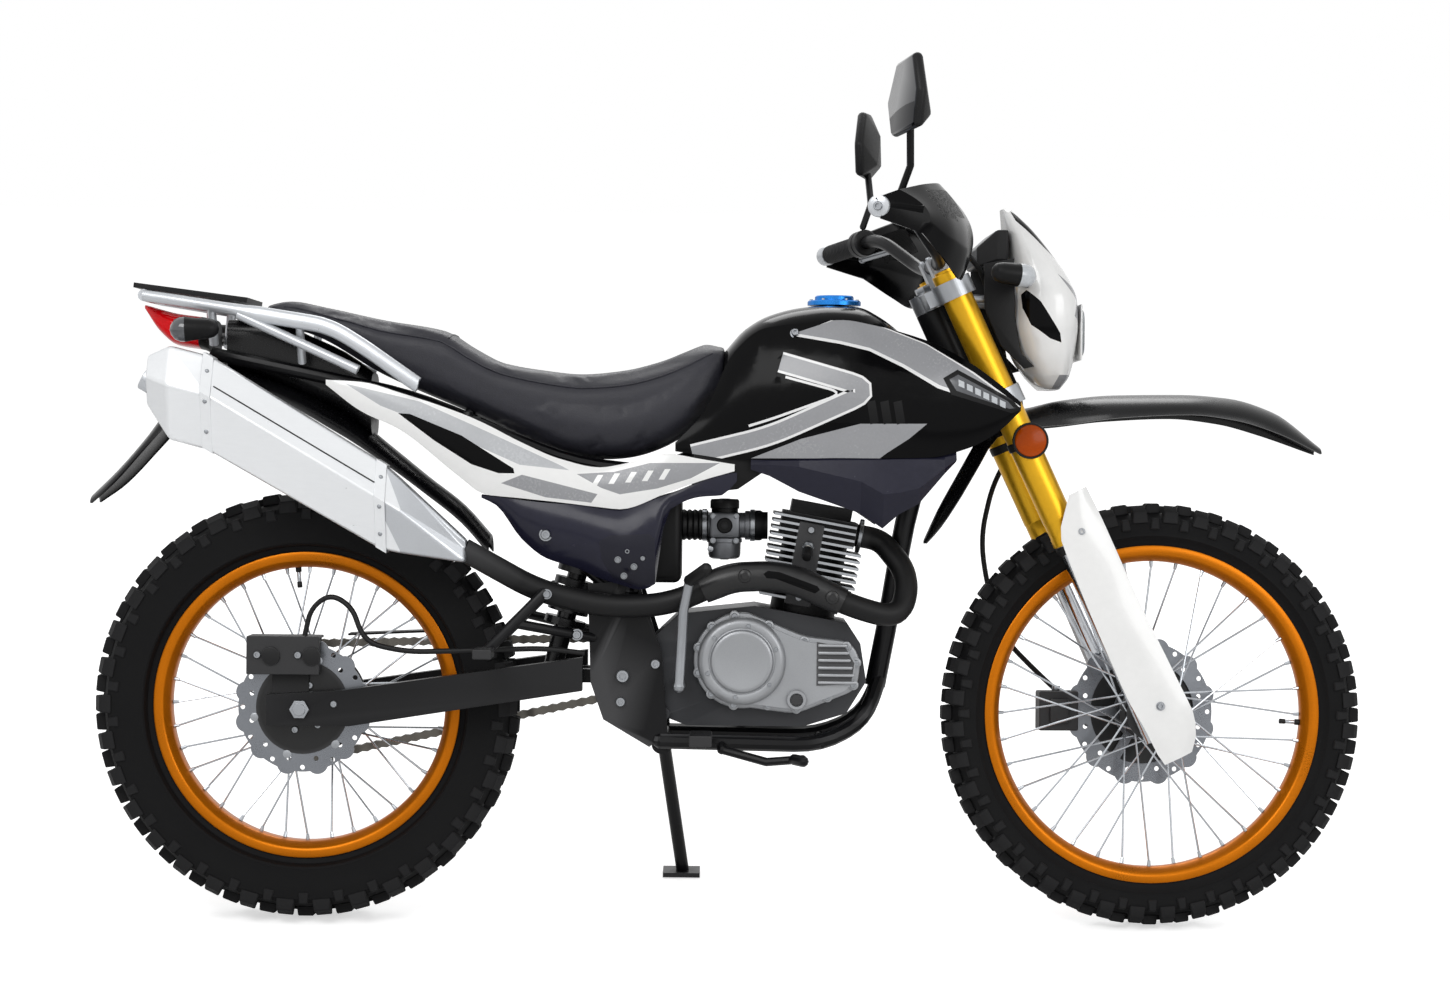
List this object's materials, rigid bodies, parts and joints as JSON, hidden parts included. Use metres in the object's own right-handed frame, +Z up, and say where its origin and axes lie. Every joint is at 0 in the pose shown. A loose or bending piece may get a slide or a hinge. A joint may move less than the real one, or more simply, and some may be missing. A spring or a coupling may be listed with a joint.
{
  "type": "trail motorcycle",
  "caption": "Light on- and off-road motorcycle on its side stand: wire wheels, long fork, single-cylinder engine, high exhaust, bench seat and rear rack.",
  "frame": {"origin": "on the ground under the middle of the parked motorcycle's box", "axes": "+X forward, +Y to the rider's left, +Z up; the motorcycle leans towards +Y onto its side stand"},
  "size_m": [2.0949, 0.8531, 1.4315],
  "materials": {
    "frame": "satin black",
    "fork_gold": "gold anodised",
    "clamp": "satin",
    "slider": "polished",
    "axle_steel": "satin",
    "rim": "orange anodised",
    "spoke": "satin",
    "hub": "satin black",
    "disc": "ground",
    "tyre": "matt",
    "black_plastic": "fine grain",
    "gloss_black": "gloss",
    "white_plastic": "gloss",
    "navy_plastic": "gloss",
    "engine_black": "satin",
    "engine_silver": "cast, painted silver",
    "muffler": "brushed",
    "pipe": "heat-proof matt black",
    "cap_blue": "blue anodised",
    "seat": "grained cover",
    "tail_red": "clear red",
    "lens": "clear",
    "rubber": "matt",
    "rail_silver": "silver",
    "chain": "oiled",
    "shock": "black spring",
    "lever": "satin"
  },
  "bodies": {
    "chassis": {"headstock": "frame", "frame": "frame", "stand_bracket": "frame", "swingarm": "frame", "rear_shock": "shock", "crankcase": "engine_black", "clutch_cover": "engine_silver", "finned_barrel": "engine_black", "carburettor": "engine_black", "exhaust_pipe": "pipe", "muffler": "muffler", "fuel_tank": "gloss_black", "fuel_cap": "cap_blue", "tank_shrouds": "gloss_black", "lower_shrouds": "navy_plastic", "upper_side_panels": "white_plastic", "lower_side_panels": "navy_plastic", "seat": "seat", "rear_mudguard": "black_plastic", "tail_light": "tail_red", "rear_signals": "black_plastic", "grab_rail": "rail_silver", "rack_plate": "black_plastic", "rear_axle": "axle_steel", "rear_caliper": "engine_black", "rear_brake_hose": "rubber", "chain": "chain", "chain_guard": "black_plastic", "footpegs": "engine_black", "foot_controls": "lever"},
    "steering": {"fork_clamps": "clamp", "fork_tubes": "fork_gold", "fork_sliders": "slider", "fork_guards": "white_plastic", "front_axle": "axle_steel", "handlebar": "frame", "bar_controls": "rubber", "handguards": "black_plastic", "mirrors": "black_plastic", "cowl": "white_plastic", "headlight": "lens", "instruments": "black_plastic", "front_signals": "black_plastic", "front_mudguard": "black_plastic", "front_caliper": "engine_black", "front_brake_hose": "rubber"},
    "front_wheel": {"front_tyre": "tyre", "front_rim": "rim", "front_spokes": "spoke", "front_hub": "hub", "front_disc": "disc"},
    "rear_wheel": {"rear_tyre": "tyre", "rear_rim": "rim", "rear_spokes": "spoke", "rear_hub": "hub", "rear_disc": "disc"},
    "side_stand": {"side_stand": "frame"}
  },
  "joints": [
    {"name": "steering_turn", "type": "hinge", "parent": "chassis", "child": "steering", "pos_m": [0.39839, -0.03864, 0.86092], "axis": [-0.4226, 0.1418, 0.8951], "range_deg": [-44, 36]},
    {"name": "front_wheel_spin", "type": "hinge", "parent": "steering", "child": "front_wheel", "pos_m": [0.69988, -0.11656, 0.34532], "axis": [-0.0632, 0.9807, -0.1852], "continuous": true},
    {"name": "rear_wheel_spin", "type": "hinge", "parent": "chassis", "child": "rear_wheel", "pos_m": [-0.69, -0.11975, 0.34883], "axis": [0, 0.9877, -0.1564], "continuous": true},
    {"name": "side_stand_fold", "type": "hinge", "parent": "chassis", "child": "side_stand", "pos_m": [-0.107, 0.00105, 0.26776], "axis": [0.049, 0.9418, 0.3326], "range_deg": [0, 87.67]}
  ]
}
